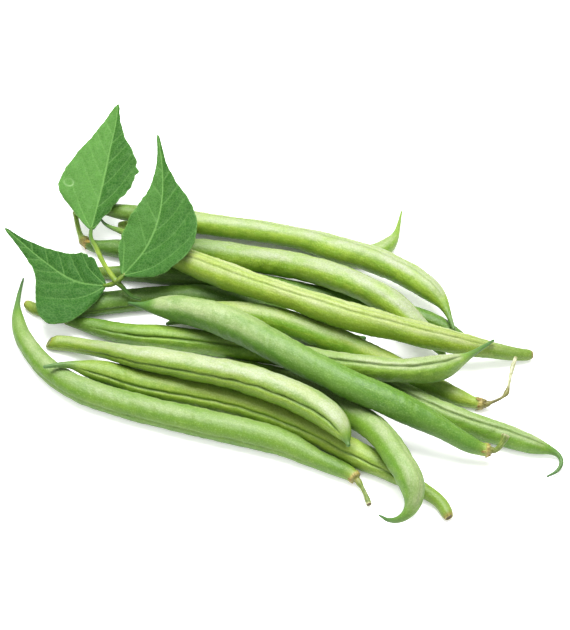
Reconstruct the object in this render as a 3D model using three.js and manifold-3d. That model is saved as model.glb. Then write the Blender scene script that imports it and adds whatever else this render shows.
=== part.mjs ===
// A green bean bundle: fourteen loose pods heaped in a low pile, with one three-part leaf laid over them.
// Lengths are millimetres and +Z is up. The pile rests on z = 0. Each pod is one closed loft that runs
// from its stalk end to the tip of its beak, and the leaf is one fused body.
import * as THREE from 'three';
import Module from 'manifold-3d';

const SIDES = 12;             // facets round a pod
const RING_STEP = 1.4;        // spacing of a pod's rings, as a share of the radius there
const RING_STEP_MIN = 1.5;    // least spacing of rings, on the stalks and the beaks
const SEAM_DEPTH = 0.09;      // how far the seam of a pod sinks in, as a share of the radius
const SEAM_BACK = 0.04;       // the same for the flatter seam on the far side
const TIP_REACH = 0.6;        // how far a beak's point runs past its last ring, as a share of that ring
const FLOOR = 0;              // the surface the pile rests on; what would pass it is pressed flat
const PILE_MIDDLE = [-3.2, 2];  // middle of the pile's outline, as the stations below have it

const LEAF_HALF = 0.4;        // half the thickness of a leaflet
const RIB_HALF = 0.35;        // what the midrib adds to that at the base of a leaflet
const LEAF_ROWS = 18;         // rows along a leaflet
const LEAF_FOLD = 0.10;       // rise of a leaflet's halves from the midrib to the edge, as a slope
const STEM_SIDES = 8;         // facets round the leaf's stalks
const STEM_STEP = 2.5;        // spacing of the rings of the leaf's stalks

const POD_GREEN = 0x8fb54a, POD_BLUE = 0x86b05c, POD_YELLOW = 0xa9bd4c, LEAF_GREEN = 0x4f9440;
const POD_ROUGHNESS = 0.45, LEAF_ROUGHNESS = 0.55;

// Each pod's stations run from the stalk end to the beak: x, y, z of the middle, and the radius.
// seam: where the seam lies round the pod at either end, in degrees from straight up to the front.
const PODS = [
  { name: 'pod_front_left', colour: POD_GREEN, seam: [-45, -45], stations: [
    [25.4, -67.5, 1.6, 1.2], [25.1, -66.4, 1.6, 1.2], [24.5, -64.4, 1.8, 0.8], [23.4, -61.8, 2.2, 0.8],
    [22.6, -60.4, 2.5, 1.3], [22.2, -59.6, 2.6, 2.2], [21.0, -57.8, 2.7, 2.1], [17, -55.5, 3, 2.6],
    [9, -51.5, 3.2, 3.0], [1, -47, 4, 4.0], [-9, -43.5, 4.2, 4.5], [-28.5, -38, 4.2, 4.5],
    [-47, -32.4, 4.1, 4.3], [-64.7, -25.2, 3.9, 4.15], [-75, -17, 3.4, 3.5], [-84.2, -3.4, 2.7, 2.8],
    [-86.9, 6, 2, 1.9], [-87.5, 11, 1.6, 1.0], [-87.2, 18, 1.2, 0.6], [-86.5, 23.5, 1.0, 0.3]] },
  { name: 'pod_front_long', colour: POD_YELLOW, seam: [45, 60], stations: [
    [49.3, -72.2, 1.6, 1.4], [48.8, -71.2, 1.7, 1.8], [47, -67, 2, 2.0], [42, -63, 2.4, 2.3],
    [35, -58, 3.2, 3.1], [22, -50.5, 3.9, 4.1], [7, -40.8, 4, 4.2], [-8, -33.5, 4.1, 4.5],
    [-21.5, -28.8, 4.1, 4.5], [-34, -25.8, 4.1, 4.4], [-46, -23.2, 4.5, 4.3], [-52.5, -20.7, 4.6, 3.85],
    [-58.5, -19.2, 5.4, 3.5], [-64.5, -18.9, 7.1, 2.1], [-67, -18.9, 8.2, 1.3], [-70.5, -19.5, 9, 0.9],
    [-75.5, -21.5, 10.3, 0.5]] },
  { name: 'pod_front_nub', colour: POD_YELLOW, seam: [80, 45], stations: [
    [-75.8, -4.8, 2.2, 1.7], [-75, -5, 2.3, 2.1], [-70.5, -5.8, 2.9, 2.4], [-63, -9, 4.8, 2.55],
    [-56, -12.8, 7.7, 2.85], [-49.5, -16.9, 10.5, 3.3], [-43, -19.3, 11.8, 3.8], [-32, -22.3, 12.3, 4.15],
    [-20.5, -25.9, 13.3, 4.4], [-7, -30.8, 13.9, 4.6],
    [6.5, -38, 13.8, 4.7], [13.5, -43, 13.5, 4.5], [17, -47.5, 13.2, 3.5], [18.4, -50.8, 13, 1.8],
    [18.8, -52.2, 12.8, 0.9], [19.2, -53.8, 12.6, 0.6]] },
  { name: 'pod_middle_curl', colour: POD_BLUE, seam: [50, 5], stations: [
    [-71, 3.5, 2.9, 1.2], [-67, 2.5, 3, 1.9], [-50.5, -2.5, 3.4, 3.5], [-36, -4.5, 3.7, 3.9],
    [-16, -8.5, 4.2, 3.9], [0, -14, 7.4, 3.9], [14, -20.5, 11.2, 3.8], [25, -24, 13.4, 3.8],
    [35, -26, 14.1, 3.7], [46, -25.2, 14, 4.3], [50.5, -23.6, 13.6, 3.7], [54, -21.5, 13.3, 2.4],
    [57.5, -19, 12.8, 1.2], [62, -14.8, 11.6, 0.7], [66, -10.8, 10.4, 0.4]] },
  { name: 'pod_top_diagonal', colour: POD_BLUE, seam: [-25, -45], stations: [
    [67.4, -47.2, 9.1, 1.2], [67.1, -47.8, 8.8, 1.2], [66.4, -49, 7.8, 0.8], [64.8, -50.4, 6.2, 0.8],
    [63.2, -50.4, 5.3, 1.1], [62.3, -50, 5, 2.2], [61, -49.7, 5, 2.0], [57.5, -49.2, 6.2, 2.5],
    [47.7, -45.5, 10.5, 3.3], [37, -41, 14, 4.4], [27, -37, 16.2, 4.5], [17, -32, 17.2, 4.5],
    [-0.5, -19.8, 16.3, 4.7], [-9, -13, 15.2, 5.0], [-18, -6.2, 13.9, 5.2], [-28.5, -1, 12.5, 4.7],
    [-36, 1.9, 11.4, 4.1], [-41, 2.9, 10.8, 2.9], [-44.5, 3.4, 10.4, 1.6], [-47.5, 4.4, 9.9, 0.8],
    [-50.5, 5.7, 9.4, 0.4]] },
  { name: 'pod_top_long', colour: POD_YELLOW, seam: [0, 0], stations: [
    [79, -9.8, 1.9, 1.3], [78.2, -9.9, 2, 1.7], [74, -10.5, 3, 2.1], [64, -11, 6.3, 2.9],
    [54, -11, 9.5, 3.7], [37, -9, 13.5, 4.1], [18, -5, 16.5, 4.5], [0.5, 2, 17.2, 3.9],
    [-10, 7, 16.5, 4.1], [-19.5, 12.5, 15.2, 4.5], [-29, 18.5, 13.5, 4.2], [-44, 29.5, 10.5, 2.9],
    [-53.5, 37, 8.7, 1.1], [-59.5, 41.5, 7, 0.6], [-62, 45.5, 6, 0.4]] },
  { name: 'pod_back_middle', colour: POD_GREEN, seam: [-50, -50], stations: [
    [-70.8, 49.8, 4.6, 1.0], [-70.4, 47.5, 4.2, 0.8], [-69.5, 43.5, 3.5, 0.8], [-68.4, 40.2, 3.2, 1.0],
    [-67.2, 38.2, 3, 1.9], [-66, 37, 2.8, 1.9], [-62, 35.5, 3, 2.3], [-51, 34, 3.6, 3.4],
    [-29.5, 32, 5, 4.3], [-10, 26.5, 7, 4.4], [3, 22, 9, 4.4], [17, 15, 11.2, 4.4],
    [26, 9.5, 11.8, 4.4], [35, 3.5, 10.8, 4.2], [43.5, -3.5, 7.3, 3.3], [48.5, -8.2, 4, 1.7],
    [51, -10.4, 2, 0.8], [52.2, -11.4, 1.2, 0.4]] },
  { name: 'pod_back_upper', colour: POD_GREEN, seam: [-40, 0], stations: [
    [-61.5, 47.5, 8.6, 1.5], [-57.5, 46.5, 9, 2.3], [-41.5, 43, 9.5, 3.4], [-34, 41.3, 9.6, 3.8],
    [-15.5, 38, 9.6, 3.6], [3, 34, 9.6, 3.7], [17.5, 28.5, 9.7, 4.4], [29, 24, 9.6, 4.4],
    [37, 20, 9.1, 4.2], [44, 15, 8.5, 4.1], [48, 11.5, 8, 3.6], [51.2, 7, 7.3, 2.0],
    [52.5, 3.5, 6.8, 1.1], [54.2, -2.5, 5.8, 0.5]] },
  { name: 'pod_back_under', colour: POD_GREEN, seam: [-15, -15], stations: [
    [-56.2, 47.4, 1.1, 0.9], [-55.4, 47.2, 1.2, 1.2], [-51.5, 46.5, 1.8, 1.8], [-44.5, 45.5, 2.5, 2.7],
    [-33, 46, 3, 3.2], [-18, 44.5, 3.1, 3.4], [-6, 42, 3.1, 3.4], [14, 36, 3.1, 3.3],
    [22.5, 33, 3.1, 3.3], [28, 32, 3, 3.2], [34, 36, 2.9, 2.7], [37, 40.4, 2.9, 1.4], [38, 44, 3, 0.8],
    [39.5, 51.5, 3.2, 0.3]] },
  { name: 'pod_middle_right', colour: POD_GREEN, seam: [-40, -40], stations: [
    [73.1, -14.4, 6.3, 0.8], [72, -17.6, 5.6, 1.1], [71.1, -20.8, 4.8, 0.8], [70.3, -24.3, 4, 0.7],
    [69.6, -26.5, 3.6, 1.3], [68.3, -27.9, 3.2, 0.7], [65.4, -29.3, 2.7, 0.8], [62.7, -30.2, 2.4, 1.2],
    [61.9, -30.2, 2.3, 2.0],
    [60, -29.5, 2.2, 1.6], [55.5, -28, 2.6, 2.5], [45, -22.5, 3.4, 3.4], [34.5, -17, 4, 4.0],
    [19, -9.9, 7.8, 4.0], [11.5, -7.6, 9, 4.2], [-0.5, -2.6, 9.9, 4.2], [-15.5, 2.1, 8.4, 4.0],
    [-25.5, 4.4, 5.8, 3.2], [-31, 4.6, 3.9, 2.3], [-34, 4.2, 2.8, 1.6], [-38.5, 3.4, 1.3, 0.5]] },
  { name: 'pod_left_blunt', colour: POD_YELLOW, seam: [75, 75], stations: [
    [-84.6, 12, 1.5, 1.2], [-84, 11.5, 1.6, 1.5], [-80.5, 8.8, 2, 2.0], [-71.5, 8, 2.8, 2.6],
    [-61, 10, 3.6, 3.8], [-47.5, 12, 3.6, 3.8], [-38.5, 13, 3.6, 3.8], [-27, 13, 3.7, 3.9],
    [-17, 10.5, 3.7, 3.9], [-7, 6.5, 3.7, 3.9], [5, 0.8, 3.4, 3.5], [13, -2.2, 3, 2.9],
    [19, -3.4, 2.5, 2.2], [23, -3.3, 2, 1.3], [26, -2.5, 1.5, 0.5]] },
  { name: 'pod_bottom_back', colour: POD_GREEN, seam: [45, 45], stations: [
    [-64, 25.5, 1.5, 1.4], [-60, 25, 2, 2.0], [-48, 24, 2.6, 2.8], [-32, 22, 3.3, 3.4],
    [-22, 21, 3.3, 3.5], [-2.5, 17.2, 3.3, 3.5], [13, 13.2, 3.3, 3.5], [28, 9.5, 3.3, 3.5],
    [47.5, 3, 2.9, 3.1], [53.5, 0, 2.3, 2.2], [57.5, -2.4, 1.8, 1.2], [62.5, -5.5, 1.2, 0.5]] },
  { name: 'pod_hook', colour: POD_BLUE, seam: [-30, -30], stations: [
    [-20, -13.4, 1.8, 1.7], [-19, -13.8, 1.9, 1.9], [-13, -15.6, 2.3, 2.3], [-3, -19.8, 3.2, 3.2],
    [7.5, -25.7, 4.6, 3.9], [16, -33.5, 6, 4.1], [27, -44.5, 9.6, 4.1], [34.5, -59, 12, 4.1],
    [37.6, -66, 11.7, 4.0], [38.4, -70, 10.4, 3.3], [37.8, -73.2, 8.1, 2.2], [35.2, -75.4, 5.9, 1.3],
    [31.8, -75.4, 4.1, 0.8], [28.3, -72, 2.3, 0.3]] },
  { name: 'pod_right_tail', colour: POD_GREEN, seam: [30, 0], stations: [
    [6.5, -9.2, 2, 1.3], [10, -12, 3.6, 1.9], [21.5, -19, 5.8, 3.1], [26.5, -22, 5.9, 3.5],
    [39, -29.5, 5, 3.8], [53, -37.5, 4.3, 3.9], [67, -42.6, 3.4, 3.6], [76.3, -46.2, 2.9, 2.9],
    [81, -47.6, 2.3, 1.5], [83.6, -48.6, 2, 0.9], [85.2, -51, 1.7, 0.7], [84, -54.5, 1.5, 0.6],
    [80, -57, 1.2, 0.3]] },
];

// The leaflets: their midribs from base to tip, and the widths of the blade to the left and to the right
// of the midrib at the shares WIDTH_AT of its length.
const WIDTH_AT = [0, 0.05, 0.12, 0.2, 0.28, 0.36, 0.45, 0.55, 0.65, 0.77, 0.89, 1];
const LEAFLETS = [
  { slope: [0, 0.36], rib: [[-64.3, 37, 10.2], [-61, 52, 15.5], [-59, 64, 19.7], [-57.2, 74, 23.3],
      [-56.6, 80.5, 25.6]],
    left: [1, 4.4, 8, 12.6, 14.3, 13.8, 12.6, 10.5, 8.2, 5.4, 2.9, 0.5],
    right: [1, 2, 3.4, 5.6, 7.8, 9.6, 10.7, 10, 7.4, 3.4, 1.2, 0.5] },
  { slope: [0.05, 0.36], rib: [[-52.1, 12, 15.6], [-45.5, 19.7, 18.7], [-41.8, 27.8, 21.8],
      [-40.2, 35.6, 24.7], [-40, 44.4, 27.9], [-41, 53, 30.9], [-42, 58.5, 32.9]],
    left: [1, 4, 7.4, 8.8, 9.1, 9, 8, 6.1, 4, 2.2, 1, 0.5],
    right: [1, 4.8, 8.9, 12, 13.9, 14.1, 12.7, 9.4, 5.2, 1.9, 0.9, 0.5] },
  { slope: [0, 0.25], rib: [[-58, 11.8, 10.6], [-66.4, 12.9, 10.9], [-71.7, 15.4, 11.5],
      [-77, 19.3, 12.5], [-82.6, 24, 13.6], [-87.4, 28.4, 14.7], [-92, 32.5, 15.7]],
    left: [1, 5.2, 9.8, 15.8, 18, 14.4, 8.8, 4.9, 3.4, 2.1, 1.2, 0.5],
    right: [1, 4.8, 8.8, 9.5, 9.6, 9.1, 7.4, 5.2, 3.6, 2, 0.9, 0.5] },
];
// The leaf's stalks: x, y, z and radius.
const STEMS = [
  [[-64.3, 38.6, 10.8, 0.7], [-64.2, 33.4, 10.8, 0.8], [-62, 27.4, 11.6, 0.8], [-58.9, 19.5, 12.6, 0.8],
    [-55.9, 13.8, 13.2, 0.9], [-54.2, 11.4, 13, 1.0], [-52.4, 10.5, 11.3, 0.8], [-49.5, 8.9, 8.7, 0.6],
    [-46.6, 8.6, 7.6, 0.5]],
  [[-54.4, 11.4, 13, 0.9], [-53.2, 11.4, 14.6, 0.8], [-51, 13.2, 16.1, 0.7]],
  [[-54.2, 11.6, 13, 0.9], [-56.2, 11.6, 11.7, 0.8], [-59.4, 12, 10.7, 0.7]],
];

// Values between given ones, by a smooth curve that never overshoots them.
function smooth(xs, ys) {
  const n = xs.length, slopes = [], d = [];
  for (let i = 0; i < n - 1; i++) slopes.push((ys[i + 1] - ys[i]) / (xs[i + 1] - xs[i]));
  for (let i = 0; i < n; i++) {
    const a = slopes[Math.max(i - 1, 0)], b = slopes[Math.min(i, n - 2)];
    d.push(a * b <= 0 ? 0 : 2 * a * b / (a + b));
  }
  return (x) => {
    let i = 0;
    while (i < n - 2 && x > xs[i + 1]) i++;
    const h = xs[i + 1] - xs[i], t = Math.min(Math.max((x - xs[i]) / h, 0), 1);
    return ys[i] * (1 + 2 * t) * (1 - t) ** 2 + ys[i + 1] * t * t * (3 - 2 * t)
      + h * (d[i] * t * (1 - t) ** 2 - d[i + 1] * t * t * (1 - t));
  };
}

// Rings along a path: where each one's middle is, which way the path runs there, and its radius.
function rings(stations, stepShare, stepMin) {
  const curve = new THREE.CatmullRomCurve3(stations.map(([x, y, z]) => new THREE.Vector3(x, y, z)));
  const last = stations.length - 1, list = [];
  const along = [0];
  for (let i = 1; i <= last; i++) {
    const [x, y, z] = stations[i], [u, v, w] = stations[i - 1];
    along.push(along[i - 1] + Math.hypot(x - u, y - v, z - w));
  }
  const radius = smooth(along, stations.map((s) => s[3]));
  for (let i = 0; i < last; i++) {
    const length = along[i + 1] - along[i];
    const step = Math.max(stepMin, stepShare * (stations[i][3] + stations[i + 1][3]) / 2);
    const parts = Math.max(1, Math.round(length / step));
    for (let k = i === 0 ? 0 : 1; k <= parts; k++) {
      const t = (i + k / parts) / last, place = along[i] + length * k / parts;
      list.push({ middle: curve.getPoint(t), run: curve.getTangent(t),
        radius: radius(place), share: place / along[last] });
    }
  }
  return list;
}

// A closed skin over rings of equal count, with a point at either end.
function skin(loops, start, end) {
  const sides = loops[0].length, points = [start, ...loops.flat(), end], faces = [];
  const at = (ring, k) => 1 + ring * sides + (k % sides);
  for (let k = 0; k < sides; k++) {
    faces.push(0, at(0, k + 1), at(0, k));
    for (let i = 0; i < loops.length - 1; i++) {
      faces.push(at(i, k), at(i, k + 1), at(i + 1, k + 1), at(i, k), at(i + 1, k + 1), at(i + 1, k));
    }
    faces.push(at(loops.length - 1, k), at(loops.length - 1, k + 1), points.length - 1);
  }
  return { points, faces };
}

function geometry({ points, faces }) {
  const g = new THREE.BufferGeometry();
  g.setAttribute('position', new THREE.Float32BufferAttribute(points.flatMap((p) => [p.x, p.y, p.z]), 3));
  g.setIndex(faces);
  g.computeVertexNormals();
  return g;
}

// One pod or stalk. The section is round with a seam sunk into it, and turns with the seam's angle.
function loft(stations, { sides, stepShare, stepMin, seam = [0, 0], depth = 0, back = 0 }) {
  const list = rings(stations, stepShare, stepMin), up = new THREE.Vector3(0, 0, 1);
  const middle = new THREE.Vector3().crossVectors(list[list.length >> 1].run, up);
  const front = middle.y > 0 ? -1 : 1;
  const loops = list.map(({ middle: c, run, radius, share }) => {
    const side = new THREE.Vector3().crossVectors(run, up).normalize().multiplyScalar(front);
    const rise = new THREE.Vector3().crossVectors(side, run).multiplyScalar(front);
    const turn = THREE.MathUtils.degToRad(seam[0] + (seam[1] - seam[0]) * share);
    return Array.from({ length: sides }, (_, k) => {
      const a = turn + 2 * Math.PI * k / sides;
      const r = radius * (1 - (k === 0 ? depth : 0) - (2 * k === sides ? back : 0));
      const p = c.clone().addScaledVector(rise, r * Math.cos(a)).addScaledVector(side, r * Math.sin(a));
      p.z = Math.max(p.z, FLOOR);
      return p;
    });
  });
  // A path that runs leftwards has its loops turned the other way round, so that the skin faces out.
  if (front < 0) loops.forEach((loop) => loop.reverse());
  const first = list[0], last = list[list.length - 1];
  const tip = last.middle.clone().addScaledVector(last.run, TIP_REACH * last.radius);
  return skin(loops, first.middle.clone(), tip);
}

// One leaflet: a thin blade, alike on both faces, thicker along the midrib.
function blade({ slope, rib, left, right }) {
  const curve = new THREE.CatmullRomCurve3(rib.map((p) => new THREE.Vector3(...p)));
  const normal = new THREE.Vector3(-slope[0], -slope[1], 1).normalize();
  const widths = [smooth(WIDTH_AT, left), smooth(WIDTH_AT, right)];
  const columns = [-1, -0.55, 0, 0.55, 1], upper = [], lower = [];
  for (let i = 0; i <= LEAF_ROWS; i++) {
    const share = i / LEAF_ROWS, c = curve.getPointAt(share);
    const side = new THREE.Vector3().crossVectors(curve.getTangentAt(share), normal).normalize();
    for (const column of columns) {
      const reach = column * widths[column > 0 ? 1 : 0](share);
      const rise = LEAF_FOLD * Math.abs(reach);
      const p = c.clone().addScaledVector(side, reach).addScaledVector(normal, rise);
      const half = LEAF_HALF + (column === 0 ? RIB_HALF * (1 - share) : 0);
      upper.push(p.clone().addScaledVector(normal, half));
      lower.push(p.clone().addScaledVector(normal, -half));
    }
  }
  const across = columns.length, count = upper.length, faces = [];
  const quad = (a, b, c, d) => faces.push(a, b, c, a, c, d);
  const at = (row, column) => row * across + column;
  for (let i = 0; i < LEAF_ROWS; i++) {
    for (let k = 0; k < across - 1; k++) {
      quad(at(i, k), at(i, k + 1), at(i + 1, k + 1), at(i + 1, k));
      quad(count + at(i, k), count + at(i + 1, k), count + at(i + 1, k + 1), count + at(i, k + 1));
    }
    quad(at(i, 0), at(i + 1, 0), count + at(i + 1, 0), count + at(i, 0));
    const edge = at(i, across - 1), next = at(i + 1, across - 1);
    quad(edge, count + edge, count + next, next);
  }
  for (let k = 0; k < across - 1; k++) {
    quad(at(0, k), count + at(0, k), count + at(0, k + 1), at(0, k + 1));
    quad(at(LEAF_ROWS, k), at(LEAF_ROWS, k + 1), count + at(LEAF_ROWS, k + 1), count + at(LEAF_ROWS, k));
  }
  return { points: [...upper, ...lower], faces };
}

// The leaflets and their stalks, fused into one body.
async function leaf() {
  const kernel = await Module();
  kernel.setup();
  const solid = ({ points, faces }) => new kernel.Manifold(new kernel.Mesh({
    numProp: 3,
    vertProperties: new Float32Array(points.flatMap((p) => [p.x, p.y, p.z])),
    triVerts: new Uint32Array(faces),
  }));
  const stems = STEMS.map((s) => loft(s, { sides: STEM_SIDES, stepShare: 0, stepMin: STEM_STEP }));
  const whole = [...LEAFLETS.map(blade), ...stems].map(solid).reduce((sum, next) => sum.add(next));
  const mesh = whole.getMesh(), g = new THREE.BufferGeometry();
  g.setAttribute('position', new THREE.Float32BufferAttribute(mesh.vertProperties, mesh.numProp));
  g.setIndex([...mesh.triVerts]);
  g.computeVertexNormals();
  return g;
}

const group = new THREE.Group();
group.name = 'green_bean_bundle';

function add(name, shape, color, roughness) {
  const mesh = new THREE.Mesh(shape, new THREE.MeshStandardMaterial({ color, roughness, metalness: 0 }));
  mesh.name = name;
  group.add(mesh);
}

for (const { name, colour, seam, stations } of PODS) {
  const body = loft(stations, { sides: SIDES, stepShare: RING_STEP, stepMin: RING_STEP_MIN, seam,
    depth: SEAM_DEPTH, back: SEAM_BACK });
  add(name, geometry(body), colour, POD_ROUGHNESS);
}
add('leaf_sprig', await leaf(), LEAF_GREEN, LEAF_ROUGHNESS);

// The pile stands over the origin: the middle of its outline is at x = 0, y = 0.
for (const mesh of group.children) mesh.geometry.translate(-PILE_MIDDLE[0], -PILE_MIDDLE[1], 0);

export default group;
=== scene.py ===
"""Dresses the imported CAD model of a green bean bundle: fine pods, leaf, materials, light and camera."""
import math

import bpy
import numpy as np
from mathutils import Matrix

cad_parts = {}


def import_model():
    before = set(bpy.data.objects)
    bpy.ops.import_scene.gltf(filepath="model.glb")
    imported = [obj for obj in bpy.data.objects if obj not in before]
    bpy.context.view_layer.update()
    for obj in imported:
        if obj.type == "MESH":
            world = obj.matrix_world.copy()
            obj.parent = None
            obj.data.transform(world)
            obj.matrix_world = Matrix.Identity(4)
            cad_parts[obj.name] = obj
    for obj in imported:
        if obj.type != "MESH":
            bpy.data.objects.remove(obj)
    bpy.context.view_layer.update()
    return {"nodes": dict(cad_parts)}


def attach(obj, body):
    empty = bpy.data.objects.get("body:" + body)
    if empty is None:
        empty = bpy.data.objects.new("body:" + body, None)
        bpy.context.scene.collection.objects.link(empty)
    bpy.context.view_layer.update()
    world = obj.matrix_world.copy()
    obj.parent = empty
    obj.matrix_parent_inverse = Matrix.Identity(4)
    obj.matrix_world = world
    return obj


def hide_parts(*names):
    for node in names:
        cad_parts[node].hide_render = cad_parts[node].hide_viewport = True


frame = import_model()

MM = 0.001
TURN = 2 * math.pi                           # a full turn, in radians
ANY_PHASE = (0.0, 6.3)                       # phases of a wave are drawn between these, in radians
GRAIN_SHIFT = (0.0, 900.0)                   # each piece has its own stretch of noise, shifted by these mm
PILE_MIDDLE = np.array([-3.2, 2.0, 0.0])     # what the CAD model takes off to centre the pile, in mm
rng = np.random.default_rng(11)

# ---------------------------------------------------------------- what is particular to each pod

# Lengths are in mm, colours are linear red, green and blue, and a share is from 0 to 1.
# green: the skin's main colour; pale: the colour of its painted sheen; warm: how far it has yellowed in
#   patches; tip: how dark the beak is.
# the sheen: how far its upper side is painted pale as a highlight from the key light, at the stalk end and at
# the
#   beak, where less than 0 is not at all and more than 1 is wholly; cover: the cosine of the angle from the
#   top to the edge of that painted side, so the lower it is, the wider the side.
# seam: where the seam lies at the stalk end and at the beak, degrees from straight up to the front.
# crease: depth of its groove as a share of the radius; lobe: how the flesh swells beside it;
#   ridge: height of a raised band in it. seeds: how far the seeds show.
# collar: how far from the end of the stalk the calyx sits, or 0 where the pod has lost both; cup: radius of
#   the calyx's cup; thin: radius of the stalk as a share of the loft's; calyx: which of CALYXES it is;
#   stalk: the stalk's darkest and lightest colours; papery: how far down it has dried, if that is above 0.
# flaps: how many dried lobes the calyx has, how long they are, and how far they stand off.
# cut: which of CUTS the end is; slant: the slope of a slanting cut.
# end: how far the stalk end has yellowed, and over what length.
# end shades: how dark the stalk end and the beak's end are painted, as the shade of a leaflet or pod lying
# over
#   them, and over what length.
OLIVE_STALK = ((0.085, 0.150, 0.018), (0.230, 0.290, 0.055))
LEAFY_STALK = ((0.150, 0.260, 0.024), (0.320, 0.430, 0.070))
BROWN_STALK = ((0.110, 0.100, 0.020), (0.250, 0.240, 0.070))
PLAIN = dict(warm=0.0, tip=0.95, cover=0.55, lobe=0.0, ridge=0.0, collar=0.0, calyx="tan", stalk=OLIVE_STALK,
             papery=-9.0, cut="stalk", slant=0.0, end=(0.4, 7.0), end_shade=(0.0, 1.0), beak_shade=(0.0, 1.0))
GREEN = dict(PLAIN, green=(0.120, 0.270, 0.014), pale=(0.32, 0.40, 0.19), painted_sheen=(0.9, 0.9))
LIGHT = dict(PLAIN, green=(0.215, 0.370, 0.022), pale=(0.38, 0.43, 0.27), painted_sheen=(0.5, 1.3))
BLUE = dict(PLAIN, green=(0.082, 0.215, 0.012), pale=(0.33, 0.42, 0.19), painted_sheen=(-1.2, 1.7), cover=0.25)
YELLOW = dict(PLAIN, green=(0.215, 0.365, 0.018), pale=(0.42, 0.47, 0.22), painted_sheen=(1.0, 1.0), warm=0.25)
OLIVE = dict(PLAIN, green=(0.265, 0.435, 0.035), pale=(0.33, 0.40, 0.11), painted_sheen=(0.6, 0.5), warm=0.25)
# Pods that lie in the shade of the leaf get a darker green, which is painted shade, and no sheen.
SHADED = dict(PLAIN, green=(0.075, 0.180, 0.012), pale=(0.09, 0.19, 0.02), painted_sheen=(0.0, 0.0))
PODS = {
    "pod_front_left": dict(GREEN, green=(0.108, 0.245, 0.012), painted_sheen=(0.2, 1.1), seam=(80, 82), crease=0.05,
                           lobe=0.015, seeds=0.030, collar=10.0, thin=0.85, cup=1.0, flaps=(5, 1.3, 0.1),
                           end=(0.6, 3.0)),
    "pod_front_long": dict(OLIVE, seam=(45, 60), crease=0.15, lobe=0.02, seeds=0.025, cut="brown",
                           end_shade=(0.55, 42.0), beak_shade=(0.45, 60.0)),
    "pod_front_nub": dict(YELLOW, green=(0.145, 0.280, 0.012), pale=(0.40, 0.46, 0.28), painted_sheen=(1.3, 1.2),
                          seam=(80, 45), crease=0.17, lobe=0.03, seeds=0.045, cut="pale", slant=0.8),
    "pod_middle_curl": dict(GREEN, green=(0.160, 0.310, 0.020), pale=(0.36, 0.42, 0.23), painted_sheen=(-0.4, 1.6),
                            seam=(50, 5), crease=0.18, lobe=0.035, seeds=0.020, cut="pale",
                            end_shade=(0.8, 30.0)),
    "pod_top_diagonal": dict(BLUE, seam=(-20, -38), crease=0.05, seeds=0.022, collar=7.6, thin=1.1,
                             cup=1.6, flaps=(6, 2.2, 0.9), end=(1.0, 3.0)),
    "pod_top_long": dict(YELLOW, cover=0.42, seam=(0, 0), crease=0.0, ridge=0.045, seeds=0.022, cut="thin",
                         end_shade=(0.6, 22.0)),
    "pod_back_middle": dict(LIGHT, seam=(-50, -50), crease=0.02, seeds=0.020, collar=13.5, thin=1.0, cup=1.9,
                            flaps=(4, 2.4, 0.5), calyx="brown", stalk=LEAFY_STALK, end_shade=(1.0, 58.0)),
    "pod_back_upper": dict(LIGHT, seam=(-32, 0), crease=0.07, seeds=0.026, cut="pale", end_shade=(0.8, 32.0)),
    "pod_back_under": dict(LIGHT, green=(0.180, 0.330, 0.030), painted_sheen=(0.5, 0.5), seam=(-15, -15), crease=0.03,
                           seeds=0.015, cut="pale", tip=0.1),
    "pod_middle_right": dict(GREEN, green=(0.150, 0.330, 0.014), pale=(0.38, 0.45, 0.19), painted_sheen=(0.2, 1.3),
                             warm=0.5, seam=(-40, -40), crease=0.03, seeds=0.026, collar=22.3, thin=0.66,
                             cup=1.7, papery=11.5, flaps=(5, 1.9, 0.4), stalk=BROWN_STALK, end=(0.6, 16.0)),
    "pod_left_blunt": dict(SHADED, seam=(75, 75), crease=0.10, seeds=0.020, cut="brown", end=(1.0, 7.0)),
    "pod_bottom_back": dict(SHADED, seam=(45, 45), crease=0.05, seeds=0.015, cut="pale"),
    "pod_hook": dict(GREEN, painted_sheen=(0.5, 1.2), seam=(-30, -30), crease=0.04, seeds=0.026, cut="pale"),
    "pod_right_tail": dict(GREEN, seam=(30, 0), crease=0.15, lobe=0.025, seeds=0.024, cut="pale"),
}
# A cut end: how far it has browned and over what length, how pale it is below that, and how brown its face is
# and how dark its sunken middle is painted, as the shade of its hollow. A stalk's own end has only the face.
CUTS = {
    "brown": dict(brown=0.8, reach=0.8, pale=0.1, face=0.95, dark=0.9),
    "thin": dict(brown=0.9, reach=0.5, pale=0.2, face=0.4, dark=0.3),
    "pale": dict(brown=0.45, reach=0.35, pale=0.2, face=0.4, dark=0.3),
    "stalk": dict(face=0.95, dark=0.9),
}
# A calyx: how tan and how brown its edge is, and how brown its cup is.
CALYXES = {"tan": (0.9, 0.15, 0.25), "brown": (0.3, 0.9, 0.7)}

# The mesh of a fine pod, in mm.
AROUND = 64           # points round it
STEP = 0.5            # spacing of its rings
STEP_END = 0.2        # the same close to its ends and its calyx
END_REACH = 3.0       # how far the closer rings reach from there
LEAST_RADIUS = 0.15
ROUND_SHARE = 70      # a loft's radius is this percentile of a ring's points, since some are pressed flat
SOFT = 1.6            # how far the radii of its rings are smoothed
SHARP = 0.3           # the same on the stalk and close to it
LINE_SOFT = 2.5       # how far its line is smoothed
STALK_SOFT = 0.8      # the same on the stalk
OPENING = (5, 20)     # how far from the calyx or the cut the seam starts to deepen, and over what length
# Its relief. Places and widths are in radians round the pod, and heights are shares of the radius.
CREASE_WIDTH = 0.10
LOBE_AT = 0.5
LOBE_WIDTH = 0.35
RIDGE_WIDTH = 0.15
FURROW_AT = 0.28      # a furrow runs on both sides of a raised band
FURROW_WIDTH = 0.07
FURROW_DEPTH = 1.7    # times the height of the band
BACK_SEAM = 0.02      # depth of the fine line opposite the seam
CALYX_GROOVE = 0.07   # depth of the groove where the calyx ends
SEAM_SWAY = 0.035     # how far the seam wanders from its line
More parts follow.
